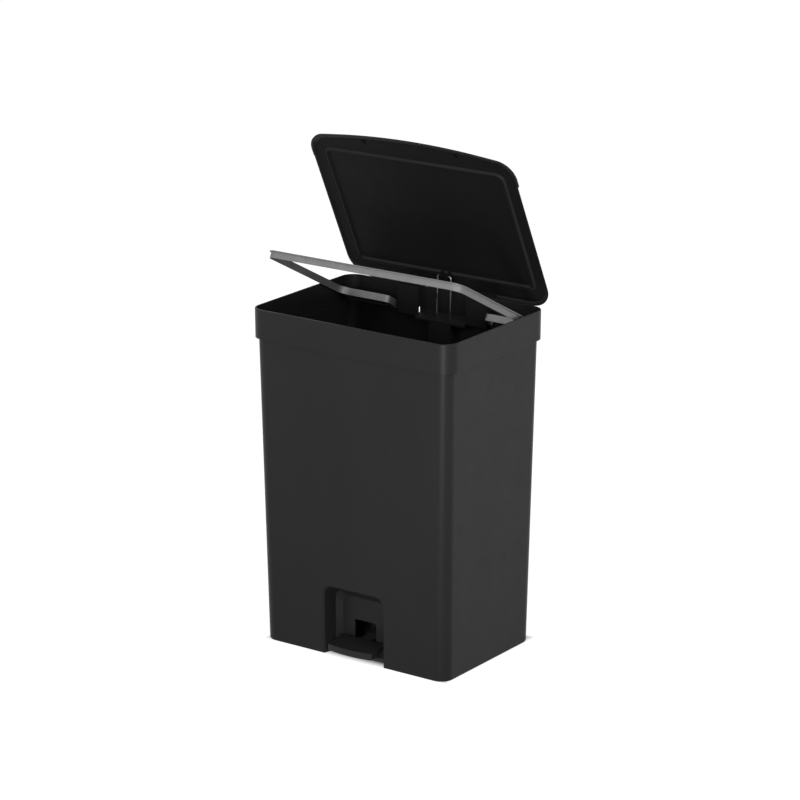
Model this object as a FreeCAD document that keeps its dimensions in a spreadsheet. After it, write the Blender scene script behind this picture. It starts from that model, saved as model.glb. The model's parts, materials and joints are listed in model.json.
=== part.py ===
"""Pedal trash can with a hinged lid, a tilting bag frame, a lift wire and a pedal lever.

Frame: +Z up, origin on the floor under the middle of the bin, front towards -Y, right towards +X.
Rest state: pedal pressed, lid open and bag frame raised. Lengths are millimetres, angles degrees.
"""
import FreeCAD, Part

import math
import os

import Sketcher

SIZES = [
    # bin body
    ("bin_height", "600", "rim above the floor"),
    ("collar_height", "52", "collar below the rim"),
    ("collar_width", "415", "collar width at the rim"),
    ("collar_depth", "293.5", "collar depth at the rim"),
    ("collar_radius", "25.7", "collar corner radius"),
    ("collar_draft", "0.3", "how far the collar narrows to its lower edge, each side"),
    ("waist_width", "401.2", "body width just under the collar"),
    ("waist_depth", "282.1", "body depth just under the collar"),
    ("waist_radius", "20", "body corner radius under the collar"),
    ("base_width", "383", "body width at the floor"),
    ("base_depth", "265.3", "body depth at the floor"),
    ("base_radius", "22.6", "body corner radius at the floor"),
    ("base_edge", "1.8", "rounding of the bottom edge"),
    ("rim_edge", "1.2", "rounding of the rim's outer edge"),
    ("wall", "3", "moulded wall"),
    ("floor_top", "70", "raised inner floor, upper face"),
    ("floor_thickness", "3", "raised inner floor"),
    ("ledge_rise", "6.5", "inner ledge above the collar's lower edge"),
    # pedal recess
    ("recess_half", "62", "recess half width at the front"),
    ("recess_turn_half", "57.5", "recess half width where its sides turn to the back wall"),
    ("recess_back_half", "47.7", "half width of the recess's back wall"),
    ("recess_height", "124.5", "recess height at the front"),
    ("recess_turn_height", "112", "recess height where its roof turns to the back wall"),
    ("recess_back_height", "101", "height of the recess's back wall"),
    ("recess_depth", "36", "back wall behind the front of the base"),
    ("recess_turn", "8", "depth of the slope between the recess's sides and its back wall"),
    ("recess_radius", "16", "upper corners of the recess"),
    ("recess_edge", "3", "bevel round the recess mouth"),
    ("opening_half", "22.5", "lever opening half width"),
    ("opening_bottom", "14", "lever opening lower edge"),
    ("opening_top", "60.6", "lever opening upper edge"),
    # rear channel and lift wire
    ("channel_half", "22.5", "rear channel half width"),
    ("channel_reach", "12.5", "channel front ahead of the wire"),
    ("wire_inset", "8.3", "wire ahead of the collar's back at rim height"),
    ("wire_foot", "14.24", "wire ahead of the base's back at the floor"),
    ("wire_half", "14", "wire legs to each side of the middle"),
    ("wire_radius", "1.5", "wire radius"),
    ("wire_bend", "4.5", "bend radius of the wire"),
    ("wire_hook", "6.6", "hook ends to each side of the middle"),
    ("bar_rise", "26.6", "cross-bar above the rim when the lid is open"),
    ("shelf_front", "5", "shelf above the groove's end at the channel front"),
    ("shelf_back", "14", "shelf above the groove's end at the back"),
    ("shelf_drop", "56", "groove's end below the rim"),
    ("guide_half_height", "7", "wire guide half height"),
    ("guide_low", "180", "lower guide above the floor"),
    ("guide_high", "420", "upper guide above the floor"),
    # hinge pockets and lid hinge
    ("pocket_inner", "50", "hinge pocket inner side"),
    ("pocket_outer", "94", "hinge pocket outer side"),
    ("pocket_wall", "3.5", "hinge pocket side wall and ear"),
    ("pocket_reach", "15.7", "pocket front ahead of the collar's back"),
    ("hinge_setback", "9", "hinge axis behind the collar's back"),
    ("hinge_drop", "3.5", "hinge axis below the rim"),
    ("hinge_pin", "4", "hinge pin diameter"),
    ("ear_radius", "5", "ear round the hinge pin"),
    # lid
    ("lid_angle", "64.2", "lid opening angle"),
    ("lid_width", "421.2", "lid width"),
    ("lid_length", "300.6", "hinge line to the front corners"),
    ("lid_tail", "3.5", "lid's rear edge behind the hinge line"),
    ("lid_slope", "0.125", "slope of the front edge's end tangents"),
    ("lid_bow_radius", "1250", "radius of the bowed front edge"),
    ("lid_front_radius", "35.7", "lid front corners"),
    ("lid_rear_radius", "43", "lid rear corners"),
    ("lid_gap", "0.5", "lid edge above the rim when shut"),
    ("lid_wall", "2.6", "lid wall"),
    ("lid_crown", "16", "lid height over its edge"),
    ("lid_band", "1.2", "upright band at the lid's edge"),
    ("hip_run", "12", "sloping side of the lid, inwards"),
    ("hip_rise", "11.2", "sloping side of the lid, upwards"),
    ("brow_run", "7", "flatter slope over the side, inwards"),
    ("brow_rise", "2.6", "flatter slope over the side, upwards"),
    ("crown_run", "30", "level top of the lid from its edge"),
    ("lip_start", "257", "front lip ahead of the hinge line"),
    ("lip_step", "1.2", "front lip proud of the lid's side"),
    ("lip_height", "3.6", "front lip height"),
    ("panel_drop", "3.3", "lid panel over the lid's edge"),
    ("panel_wall", "2", "lid panel thickness"),
    ("bead_half", "183.5", "half width of the panel's bead, outside"),
    ("bead_front", "275", "bead's front side ahead of the hinge line"),
    ("bead_rear", "32", "bead's rear side ahead of the hinge line"),
    ("bead_width", "3", "bead width at its crest"),
    ("bead_height", "3", "bead height"),
    ("bead_slope", "3.5", "run of the bead's sloping sides"),
    ("bead_radius", "13", "bead corners"),
    ("knuckle_radius", "4.5", "lid knuckle"),
    ("side_play", "0.5", "play beside a knuckle"),
    ("buffer_out", "95", "rubber buffers to each side of the middle"),
    ("buffer_radius", "4", "rubber buffer radius"),
    # lift bracket under the lid
    ("bracket_half", "30", "bracket half width"),
    ("bracket_rise", "9.4", "bracket's seat over the lid's edge"),
    ("bracket_plate", "2.5", "bracket plate thickness"),
    ("lug_inner", "5.8", "bracket lug inner face"),
    ("lug_wall", "3", "bracket lug"),
    ("lug_rim", "1.9", "lug round its slot"),
    ("lug_gap", "0.5", "panel slot round a lug"),
    ("slot_play", "0.9", "play round the wire in the lugs' slots"),
    ("bracket_screw_out", "22", "bracket screws to each side of the middle"),
    # bag frame
    ("frame_angle", "27.5", "bag frame raised angle"),
    ("pivot_inset", "8.7", "frame pivot ahead of the collar's back"),
    ("pivot_drop", "43", "frame pivot below the rim"),
    ("strip", "1.6", "bag frame strip thickness"),
    ("strip_height", "12.5", "bag frame strip height"),
    ("strip_rise", "11", "strip's upper edge over the pivot"),
    ("frame_lip", "3", "lip width"),
    ("frame_lip_wall", "1.5", "lip thickness"),
    ("frame_gap", "1.4", "lip to the collar's inner face"),
    ("frame_radius", "19", "frame corner radius"),
    ("frame_rear", "31.3", "frame's rear bars ahead of the pivot"),
    ("tab_out", "101.3", "frame tabs to each side of the middle"),
    ("tab_bend", "10", "bend of the frame tabs"),
    ("rivet", "4", "frame rivet diameter"),
    # pedal and lever
    ("lever_back", "10", "lever axle behind the middle"),
    ("lever_rise", "37.5", "lever axle above the floor"),
    ("pedal_pitch", "6.5", "lever slope when pressed"),
    ("lever_half", "10.5", "lever half width"),
    ("lever_sheet", "2", "lever sheet"),
    ("lever_top", "3", "lever's upper face over its axle"),
    ("lever_flange", "6", "flanges below the axle"),
    ("lever_hold", "41", "lever under the pedal, from the pedal's rear edge"),
    ("hook_drop", "1.5", "wire hook below the axle line"),
    ("hook_tail", "6", "lever behind the wire hook"),
    ("hub_radius", "7", "lever hub"),
    ("hub_half", "12.5", "lever hub half length"),
    ("axle", "6", "axle diameter"),
    ("bush_wall", "1", "bush wall"),
    ("bearing_wall", "12", "axle bearing width"),
    ("bearing_radius", "9", "axle bearing round the axle"),
    ("mount_height", "6", "bearing seat under the floor"),
    ("pad_half", "46.5", "pedal half width"),
    ("pad_clearance", "3.35", "pedal rear edge ahead of the recess's back wall, along the lever"),
    ("pad_length", "46", "pedal rear edge to its front corners"),
    ("pad_bow", "6.5", "tangent crossing ahead of the pedal's front corners"),
    ("pad_top", "5", "pedal face over the axle line"),
    ("pad_bow_radius", "225", "radius of the pedal's bowed front"),
    ("pad_height", "11.5", "pedal front height"),
    ("pad_wall", "2", "pedal wall"),
    ("pad_corner", "5", "pedal corner radius"),
    ("pad_edge", "1.5", "rounding of the pedal's upper edge"),
    ("pad_screw_inset", "14", "first pedal screw ahead of the pedal's rear edge"),
    ("pad_screw_pitch", "18", "distance between the pedal screws"),
    # fits
    ("running_fit", "0.2", "added to a pin's diameter for its hole"),
    ("seat_gap", "0.3", "gap at a seat"),
    ("screw", "3", "screw shank diameter"),
]


class Size:
    """A length that carries its number together with the sheet expression it comes from."""

    def __init__(self, number, text):
        self.number = float(number)
        self.text = text

    @staticmethod
    def of(value):
        return value if isinstance(value, Size) else Size(value, repr(float(value)))

    def __float__(self):
        return self.number

    def __neg__(self):
        return Size(-self.number, f"(-{self.text})")

    def __add__(self, other):
        other = Size.of(other)
        return Size(self.number + other.number, f"({self.text} + {other.text})")

    __radd__ = __add__

    def __sub__(self, other):
        return self + -Size.of(other)

    def __rsub__(self, other):
        return Size.of(other) - self

    def __mul__(self, other):
        other = Size.of(other)
        return Size(self.number * other.number, f"({self.text} * {other.text})")

    __rmul__ = __mul__

    def __truediv__(self, other):
        other = Size.of(other)
        return Size(self.number / other.number, f"({self.text} / {other.text})")


def cosine(angle):
    return Size(math.cos(math.radians(float(angle))), f"cos({angle.text})")


def sine(angle):
    return Size(math.sin(math.radians(float(angle))), f"sin({angle.text})")


doc = FreeCAD.newDocument("pedal_trash_can")
sheet = doc.addObject("Spreadsheet::Sheet", "Sizes")
for row, (alias, number, meaning) in enumerate(SIZES, start=1):
    sheet.set(f"A{row}", meaning)
    sheet.set(f"B{row}", number)
    sheet.setAlias(f"B{row}", alias)
doc.recompute()


class Sheet:
    """Every alias of the sheet as a Size."""


size = Sheet()
for alias, number, meaning in SIZES:
    setattr(size, alias, Size(sheet.get(alias), f"Sizes.{alias}"))

bodies = []


# ---- modelling helpers -------------------------------------------------------------------------

def new_body(label, base=(0, 0, 0), axis=(-1, 0, 0), angle=0.0):
    """An empty body whose origin stands at base, turned by angle about axis."""
    body = doc.addObject("PartDesign::Body", label)
    body.Label = label
    body.AllowCompound = True
    place = [Size.of(value) for value in base]
    turn = Size.of(angle)
    spot = FreeCAD.Vector(*[float(value) for value in place])
    body.Placement = FreeCAD.Placement(spot, FreeCAD.Rotation(FreeCAD.Vector(*axis), float(turn)))
    for name, value in zip("xyz", place):
        body.setExpression(f".Placement.Base.{name}", value.text)
    if float(turn):
        body.setExpression(".Placement.Rotation.Angle", turn.text)
    bodies.append(body)
    return body


def origin_part(body, role):
    return next(part for part in body.Origin.OriginFeatures if part.Role == role)


def new_sketch(body, name, role, offset=0.0, tilt=0.0):
    """A sketch on one of the body's origin planes, moved along its normal and tilted about its X."""
    sketch = body.newObject("Sketcher::SketchObject", f"{body.Name}_{name}")
    sketch.AttachmentSupport = [(origin_part(body, role), "")]
    sketch.MapMode = "FlatFace"
    offset = Size.of(offset)
    tilt = Size.of(tilt)
    turn = FreeCAD.Rotation(FreeCAD.Vector(1, 0, 0), float(tilt))
    sketch.AttachmentOffset = FreeCAD.Placement(FreeCAD.Vector(0, 0, float(offset)), turn)
    sketch.setExpression(".AttachmentOffset.Base.z", offset.text)
    if float(tilt):
        sketch.setExpression(".AttachmentOffset.Rotation.Angle", tilt.text)
    return sketch


def bind(sketch, constraint, value):
    """Add a dimension to the sketch and tie it to the sheet."""
    index = sketch.addConstraint(constraint)
    sketch.setExpression(f"Constraints[{index}]", Size.of(value).text)


def locate(sketch, geometry, point, across, up):
    """Dimension a point from the sketch's origin."""
    bind(sketch, Sketcher.Constraint("DistanceX", -1, 1, geometry, point, float(across)), across)
    bind(sketch, Sketcher.Constraint("DistanceY", -1, 1, geometry, point, float(up)), up)


def draw_path(sketch, corners, closed):
    """Straight edges through corners (across, up, radius), rounded where the radius isn't 0."""
    spots = [FreeCAD.Vector(float(across), float(up), 0) for across, up, radius in corners]
    count = len(spots)
    arrive = list(spots)
    leave = list(spots)
    arcs = {}
    for index, (across, up, radius) in enumerate(corners):
        if not float(radius):
            continue
        back = spots[index - 1] - spots[index]
        ahead = spots[(index + 1) % count] - spots[index]
        back.normalize()
        ahead.normalize()
        half = back.getAngle(ahead) / 2
        reach = float(radius) / math.tan(half)
        arrive[index] = spots[index] + back * reach
        leave[index] = spots[index] + ahead * reach
        middle = back + ahead
        middle.normalize()
        centre = spots[index] + middle * (float(radius) / math.sin(half))
        first = arrive[index] - centre
        last = leave[index] - centre
        turns_left = back.cross(ahead).z < 0
        if not turns_left:
            first, last = last, first
        circle = Part.Circle(centre, FreeCAD.Vector(0, 0, 1), float(radius))
        start = math.atan2(first.y, first.x)
        end = math.atan2(last.y, last.x)
        arcs[index] = (Part.ArcOfCircle(circle, start, end), turns_left)
    lines = []
    for index in range(count if closed else count - 1):
        following = (index + 1) % count
        lines.append(sketch.addGeometry(Part.LineSegment(leave[index], arrive[following]), False))
    for index, (across, up, radius) in enumerate(corners):
        mark = sketch.addGeometry(Part.Point(spots[index]), True)
        locate(sketch, mark, 1, across, up)
        before = lines[index - 1] if closed or index > 0 else None
        after = lines[index] if index < len(lines) else None
        if index in arcs:
            shape, turns_left = arcs[index]
            arc = sketch.addGeometry(shape, False)
            start, end = (1, 2) if turns_left else (2, 1)
            sketch.addConstraint(Sketcher.Constraint("Tangent", before, 2, arc, start))
            sketch.addConstraint(Sketcher.Constraint("Tangent", after, 1, arc, end))
            sketch.addConstraint(Sketcher.Constraint("PointOnObject", mark, 1, before))
            sketch.addConstraint(Sketcher.Constraint("PointOnObject", mark, 1, after))
            bind(sketch, Sketcher.Constraint("Radius", arc, float(radius)), radius)
            continue
        if before is not None:
            sketch.addConstraint(Sketcher.Constraint("Coincident", before, 2, mark, 1))
        if after is not None:
            sketch.addConstraint(Sketcher.Constraint("Coincident", after, 1, mark, 1))


def outline(body, name, role, offset, corners, tilt=0.0):
    sketch = new_sketch(body, name, role, offset, tilt)
    draw_path(sketch, corners, True)
    return sketch


def rectangle(across, up, radius=0.0):
    """Corners of a rectangle between two (low, high) pairs."""
    return [
        (across[0], up[0], radius),
        (across[1], up[0], radius),
        (across[1], up[1], radius),
        (across[0], up[1], radius),
    ]


def circles(body, name, role, offset, radius, centres):
    """A sketch of equal circles at the given centres."""
    sketch = new_sketch(body, name, role, offset)
    for across, up in centres:
        centre = FreeCAD.Vector(float(across), float(up), 0)
        ring = sketch.addGeometry(Part.Circle(centre, FreeCAD.Vector(0, 0, 1), float(radius)), False)
        bind(sketch, Sketcher.Constraint("Radius", ring, float(radius)), radius)
        locate(sketch, ring, 3, across, up)
    return sketch


def hexagons(body, name, role, offset, radius, centres):
    """A sketch of equal hexagons, radius across the corners, at the given centres."""
    sketch = new_sketch(body, name, role, offset)
    for across, up in centres:
        corners = []
        for step in range(6):
            turn = math.radians(60 * step)
            corners.append((across + radius * math.cos(turn), up + radius * math.sin(turn), 0.0))
        draw_path(sketch, corners, True)
    return sketch


def extrude(kind, sketch, length, side, flipped):
    body = sketch.getParentGeoFeatureGroup()
    feature = body.newObject(f"PartDesign::{kind}", f"{sketch.Name}_{kind.lower()}")
    feature.Profile = sketch
    feature.SideType = side
    feature.Reversed = flipped
    feature.setExpression("Length", Size.of(length).text)
    return feature


def pad(sketch, length, side="One side", flipped=False):
    """Material along the sketch's normal."""
    return extrude("Pad", sketch, length, side, flipped)


def pocket(sketch, length, side="One side", flipped=True):
    """A cut along the sketch's normal, or against it when flipped is False."""
    return extrude("Pocket", sketch, length, side, flipped)


def loft(kind, sketches, ruled=True):
    body = sketches[0].getParentGeoFeatureGroup()
    feature = body.newObject(f"PartDesign::{kind}Loft", f"{sketches[0].Name}_loft")
    feature.Profile = sketches[0]
    feature.Sections = sketches[1:]
    feature.Ruled = ruled
    return feature


def mirror(features, role="YZ_Plane"):
    """The features repeated on the other side of an origin plane."""
    body = features[0].getParentGeoFeatureGroup()
    copy = body.newObject("PartDesign::Mirrored", f"{features[0].Name}_mirrored")
    copy.Originals = features
    copy.MirrorPlane = (origin_part(body, role), [""])
    body.Tip = copy
    return copy


def turned(body, name, corners, role="XZ_Plane", axis="X_Axis"):
    """A turned piece: the closed profile (along, out) revolved about an origin axis."""
    sketch = new_sketch(body, name, role)
    draw_path(sketch, [(along, out, 0.0) for along, out in corners], True)
    feature = body.newObject("PartDesign::Revolution", f"{sketch.Name}_turned")
    feature.Profile = sketch
    feature.ReferenceAxis = (origin_part(body, axis), [""])
    feature.Angle = 360.0
    return feature


def stepped(steps, bore=0.0):
    """Profile corners of a stepped round piece from (start, end, radius) steps along its axis."""
    upper = []
    for start, end, radius in steps:
        upper.append((start, radius))
        upper.append((end, radius))
    return [(steps[0][0], bore)] + upper + [(steps[-1][1], bore)]


# ---- places shared by several pieces --------------------------------------------------------------

waist_height = size.bin_height - size.collar_height
ledge_height = waist_height + size.ledge_rise
collar_back = size.collar_depth / 2
collar_inner_back = collar_back - size.wall
hinge_y = collar_back + size.hinge_setback
hinge_z = size.bin_height - size.hinge_drop
lid_edge = size.hinge_drop + size.lid_gap
pivot_y = collar_back - size.pivot_inset
pivot_z = size.bin_height - size.pivot_drop
floor_under = size.floor_top - size.floor_thickness
recess_back = size.recess_depth - size.base_depth / 2
pad_rear = size.lever_back - recess_back + size.pad_clearance
pad_front = pad_rear + size.pad_length
lever_front = pad_rear + size.lever_hold
wire_lean = collar_back - size.wire_inset - size.base_depth / 2 + size.wire_foot
wire_slope = wire_lean / size.bin_height
lean = Size(math.degrees(math.atan(float(wire_slope))), f"atan({wire_slope.text})")
front_slope = (size.waist_depth - size.base_depth) / 2 / waist_height
front_lean = Size(math.degrees(math.atan(float(front_slope))), f"atan({front_slope.text})")
groove_end = size.bin_height - size.shelf_drop
mount_under = floor_under - size.mount_height
bearing_inner = size.hub_half + size.bush_wall + size.seat_gap
bearing_outer = bearing_inner + size.bearing_wall
bearing_middle = (bearing_inner + bearing_outer) / 2
bearing_screw_reach = size.bearing_radius + 6.5


def wire_y(height):
    """Depth of the wire's axis at a height above the floor."""
    return collar_back - size.wire_inset - (size.bin_height - height) * wire_slope


def body_half(height, base, waist):
    """Half of the tapered body's width or depth at a height above the floor."""
    return (base + (waist - base) * (height / waist_height)) / 2


def body_section(body, name, height, inset, radius):
    """Horizontal section of the tapered body, drawn in by inset."""
    half_width = body_half(height, size.base_width, size.waist_width) - inset
    half_depth = body_half(height, size.base_depth, size.waist_depth) - inset
    corners = rectangle((-half_width, half_width), (-half_depth, half_depth), radius - inset)
    return outline(body, name, "XY_Plane", height, corners)


def collar_section(body, name, height, inset, draft):
    """Horizontal section of the collar, drawn in by inset and draft."""
    half_width = size.collar_width / 2 - inset - draft
    half_depth = size.collar_depth / 2 - inset - draft
    radius = size.collar_radius - inset
    corners = rectangle((-half_width, half_width), (-half_depth, half_depth), radius)
    return outline(body, name, "XY_Plane", height, corners)


# ---- bin body -------------------------------------------------------------------------------------

def recess_section(body, name, depth, half, height, grow, tilt=0.0):
    """Upright section of the pedal recess at a depth, open at the floor and grown all round."""
    radius = size.recess_radius + grow
    corners = [
        (-half - grow, 0.0, 0.0),
        (half + grow, 0.0, 0.0),
        (half + grow, height + grow, radius),
        (-half - grow, height + grow, radius),
    ]
    return outline(body, name, "XZ_Plane", -depth, corners, tilt)


def make_shell(body):
    """Tapered body and collar, hollowed above and below the raised floor."""
    no_inset = Size.of(0.0)
    foot = body_section(body, "foot", no_inset, size.base_edge * 0.6, size.base_radius)
    base = body_section(body, "base", size.base_edge, no_inset, size.base_radius)
    waist = body_section(body, "waist", waist_height, no_inset, size.waist_radius)
    loft("Additive", [foot, base, waist])
    low = collar_section(body, "collar_low", waist_height, no_inset, size.collar_draft)
    shoulder = collar_section(body, "shoulder", size.bin_height - size.rim_edge, no_inset, no_inset)
    rim = collar_section(body, "rim", size.bin_height, size.rim_edge * 0.6, no_inset)
    loft("Additive", [low, shoulder, rim])
    floor = body_section(body, "inner_floor", size.floor_top, size.wall, size.base_radius)
    ledge = body_section(body, "inner_ledge", ledge_height, size.wall, size.waist_radius)
    loft("Subtractive", [floor, ledge])
    inner_low = collar_section(body, "collar_inner_low", ledge_height, size.wall, size.collar_draft)
    inner_rim = collar_section(body, "collar_inner_rim", size.bin_height, size.wall, no_inset)
    loft("Subtractive", [inner_low, inner_rim])
    skirt = body_section(body, "skirt", Size.of(0.0), size.wall, size.base_radius)
    under = body_section(body, "under_floor", floor_under, size.wall, size.base_radius)
    loft("Subtractive", [skirt, under])


def make_recess(body):
    """Walled pedal recess in the front, with a bevelled mouth and the lever's opening at its back."""
    front = -size.base_depth / 2
    turn = recess_back - size.recess_turn
    outer = [
        recess_section(body, "recess_outer_front", front + size.wall * 0.2,
                       size.recess_half, size.recess_height, size.wall),
        recess_section(body, "recess_outer_turn", turn + size.wall * 0.4,
                       size.recess_turn_half, size.recess_turn_height, size.wall),
        recess_section(body, "recess_outer_back", recess_back + size.wall,
                       size.recess_back_half, size.recess_back_height, size.wall),
    ]
    loft("Additive", outer)
    ahead = size.wall * 2
    none = Size.of(0.0)
    inner = [
        recess_section(body, "recess_flare", front - ahead, size.recess_half,
                       size.recess_height, size.recess_edge + ahead, front_lean),
        recess_section(body, "recess_mouth", front + size.recess_edge, size.recess_half,
                       size.recess_height, none, front_lean),
        recess_section(body, "recess_turn", turn, size.recess_turn_half,
                       size.recess_turn_height, none),
        recess_section(body, "recess_back", recess_back, size.recess_back_half,
                       size.recess_back_height, none),
    ]
    loft("Subtractive", inner)
    opening = outline(body, "lever_opening", "XZ_Plane", -recess_back - size.wall / 2, rectangle(
        (-size.opening_half, size.opening_half), (size.opening_bottom, size.opening_top), 1.5))
    pocket(opening, size.wall * 3, "Symmetric")


def make_channel(body):
    """Inward channel for the lift wire, open to the back, with a sloping shelf on top."""
    bottom = floor_under
    back_low = body_half(bottom, size.base_depth, size.waist_depth) - size.wall / 2
    back_high = body_half(groove_end, size.base_depth, size.waist_depth) - size.wall / 2
    across = (-size.channel_half, size.channel_half)
    front_low = wire_y(bottom) - size.channel_reach
    front_high = wire_y(groove_end) - size.channel_reach
    low = outline(body, "channel_low", "XY_Plane", bottom, rectangle(across, (front_low, back_low)))
    high = outline(body, "channel_high", "XY_Plane", groove_end,
                   rectangle(across, (front_high, back_high)))
    loft("Additive", [low, high])
    shelf_corners = [
        (front_high, groove_end, 0.0),
        (front_high, groove_end + size.shelf_front, 0.0),
        (collar_inner_back + size.wall / 2, groove_end + size.shelf_back, 0.0),
        (collar_inner_back + size.wall / 2, ledge_height - size.wall / 2, 0.0),
        (back_high, ledge_height - size.wall / 2, 0.0),
        (back_high, groove_end, 0.0),
    ]
    shelf = outline(body, "shelf", "YZ_Plane", 0.0, shelf_corners)
    pad(shelf, (size.pocket_inner + size.pocket_wall / 2) * 2, "Symmetric")
    inner = size.channel_half - size.wall
    groove_across = (-inner, inner)
    groove_low = outline(body, "groove_low", "XY_Plane", bottom - 1.0, rectangle(
        groove_across, (front_low + size.wall, back_low + size.wall * 3)))
    groove_high = outline(body, "groove_high", "XY_Plane", groove_end, rectangle(
        groove_across, (front_high + size.wall, back_high + size.wall * 3)))
    loft("Subtractive", [groove_low, groove_high])
    hole_y = wire_y(groove_end + size.shelf_front)
    holes = circles(body, "wire_holes", "XY_Plane", groove_end - 2.0, size.wire_radius + 0.8,
                    [(-size.wire_half, hole_y), (size.wire_half, hole_y)])
    pocket(holes, size.shelf_back + 4.0)


def make_hinge_pockets(body):
    """Two pockets open to the back; their side walls run on as ears for the lid's hinge pins."""
    front = collar_back - size.pocket_reach
    top = size.bin_height
    ear_top = hinge_z + size.ear_radius
    ear_back = hinge_y + size.ear_radius
    block_corners = [
        (front, waist_height, 0.0),
        (front, top, 0.0),
        (collar_back, top, 0.0),
        (hinge_y - size.ear_radius, ear_top, 0.0),
        (ear_back, ear_top, size.ear_radius * 0.96),
        (ear_back, hinge_z - size.ear_radius * 1.5, size.ear_radius * 0.9),
        (collar_back, waist_height + size.wall * 4, 0.0),
        (collar_back - size.wall / 2, waist_height, 0.0),
    ]
    block = outline(body, "hinge_block", "YZ_Plane", size.pocket_inner, block_corners)
    blocks = pad(block, size.pocket_outer - size.pocket_inner)
    mirror([blocks])
    past = ear_back + 5.0
    roof = top - size.wall
    hollow_corners = [
        (front + size.wall, waist_height + size.wall, 0.0),
        (past, waist_height + size.wall, 0.0),
        (past, ear_top + 5.0, 0.0),
        (collar_back, ear_top + 5.0, 0.0),
        (collar_back, roof, 0.0),
        (front + size.wall, roof, 0.0),
    ]
    hollow = outline(
        body, "hinge_hollow", "YZ_Plane", size.pocket_inner + size.pocket_wall, hollow_corners)
    hollows = pocket(hollow, size.pocket_outer - size.pocket_inner - size.pocket_wall * 2)
    mirror([hollows])
    hinge_hole = circles(body, "hinge_hole", "YZ_Plane", 0.0,
                         (size.hinge_pin + size.running_fit) / 2, [(hinge_y, hinge_z)])
    pocket(hinge_hole, (size.pocket_outer + 1.0) * 2, "Symmetric")
    outer_wall = size.pocket_outer - size.pocket_wall
    bush_hole = circles(body, "bush_hole", "YZ_Plane", outer_wall - 0.5,
                        size.rivet / 2 + size.bush_wall + size.running_fit / 2, [(pivot_y, pivot_z)])
    bush_holes = pocket(bush_hole, size.pocket_wall + 1.0)
    tool_slot = outline(body, "tool_slot", "YZ_Plane", size.pocket_inner - 0.5, rectangle(
        (pivot_y - 4.0, pivot_y + 3.6), (pivot_z - 4.0, pivot_z + 7.6), 1.5))
    tool_slots = pocket(tool_slot, size.pocket_wall + 1.0)
    eye_notch = outline(body, "eye_notch", "YZ_Plane", size.pocket_outer, rectangle(
        (pivot_y - 7.0, collar_inner_back - 0.2), (pivot_z - 5.8, pivot_z)))
    notches = pocket(eye_notch, size.tab_out + size.strip / 2 + 3.5 - size.pocket_outer)
    mirror([bush_holes, tool_slots, notches])


def bearing_screw_places():
    """Plan positions of the four bearing screws."""
    places = []
    for across in (-bearing_middle, bearing_middle):
        for along in (-bearing_screw_reach, bearing_screw_reach):
            places.append((across, size.lever_back + along))
    return places


def make_bearing_seat(body):
    """Seat for the axle bearings under the raised floor, with four blind screw holes."""
    half_length = bearing_screw_reach + 8.0
    across = (-bearing_outer - 3.0, bearing_outer + 3.0)
    along = (size.lever_back - half_length, size.lever_back + half_length)
    seat = outline(body, "bearing_seat", "XY_Plane", mount_under, rectangle(across, along, 3.0))
    pad(seat, size.mount_height + size.floor_thickness / 2)
    holes = circles(body, "seat_holes", "XY_Plane", mount_under,
                    (size.screw + size.running_fit) / 2, bearing_screw_places())
    pocket(holes, size.mount_height + 1.0)


def make_bin_body():
    body = new_body("bin_body")
    make_shell(body)
    make_recess(body)
    make_channel(body)
    make_hinge_pockets(body)
    make_bearing_seat(body)


# ---- lid ------------------------------------------------------------------------------------------
# Lid pieces are drawn shut, from the hinge axis: forward is -Y.

hinge_place = (0.0, hinge_y, hinge_z)


bar_reach_shut = hinge_y - wire_y(hinge_z)


def bar_in_lid(share):
    """The wire's cross-bar seen from the lid (ahead, above) when open by a share of its angle."""
    angle = math.radians(float(size.lid_angle)) * share
    travel = float(size.hinge_drop + size.bar_rise) * share
    forward = float(bar_reach_shut) - travel * float(wire_slope)
    across = forward * math.cos(angle) + travel * math.sin(angle)
    above = travel * math.cos(angle) - forward * math.sin(angle)
    return across, above


slot_half = size.wire_radius + size.slot_play
slot_start = bar_in_lid(0.0)
slot_end = bar_in_lid(1.0)
bracket_middle = Size.of(-(slot_start[0] + slot_end[0]) / 2)
lug_front = -slot_half - size.lug_rim - slot_end[0]
lug_back = slot_half + size.lug_rim - slot_start[0]
lug_front_foot = -slot_half - size.lug_rim + slot_end[1]
lug_back_foot = -slot_half - size.lug_rim + slot_start[1]


def lid_section(body, name, height, inset):
    """Horizontal section of the lid, drawn in by inset, with its bowed front edge."""
    half = size.lid_width / 2 - inset
    front = inset - size.lid_length
    rear = size.lid_tail - inset
    shrink = inset * 0.35
    corners = [
        (-half, rear, size.lid_rear_radius - shrink),
        (-half, front, size.lid_front_radius - shrink),
        (0.0, front - half * size.lid_slope, size.lid_bow_radius * (half / (size.lid_width / 2))),
        (half, front, size.lid_front_radius - shrink),
        (half, rear, size.lid_rear_radius - shrink),
    ]
    return outline(body, name, "XY_Plane", height, corners)


hip_slope = size.hip_run / size.hip_rise
hip_wall = size.lid_wall * (float(size.hip_rise) ** 2 + float(size.hip_run) ** 2) ** 0.5 / size.hip_rise
panel_under = lid_edge + size.panel_drop
panel_upper = panel_under + size.panel_wall
bracket_seat = lid_edge + size.bracket_rise


def hip_inset(height):
    """Inner face of the lid's sloping side: its inset at a height over the lid's edge."""
    return hip_wall + (height - size.lid_band) * hip_slope


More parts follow.
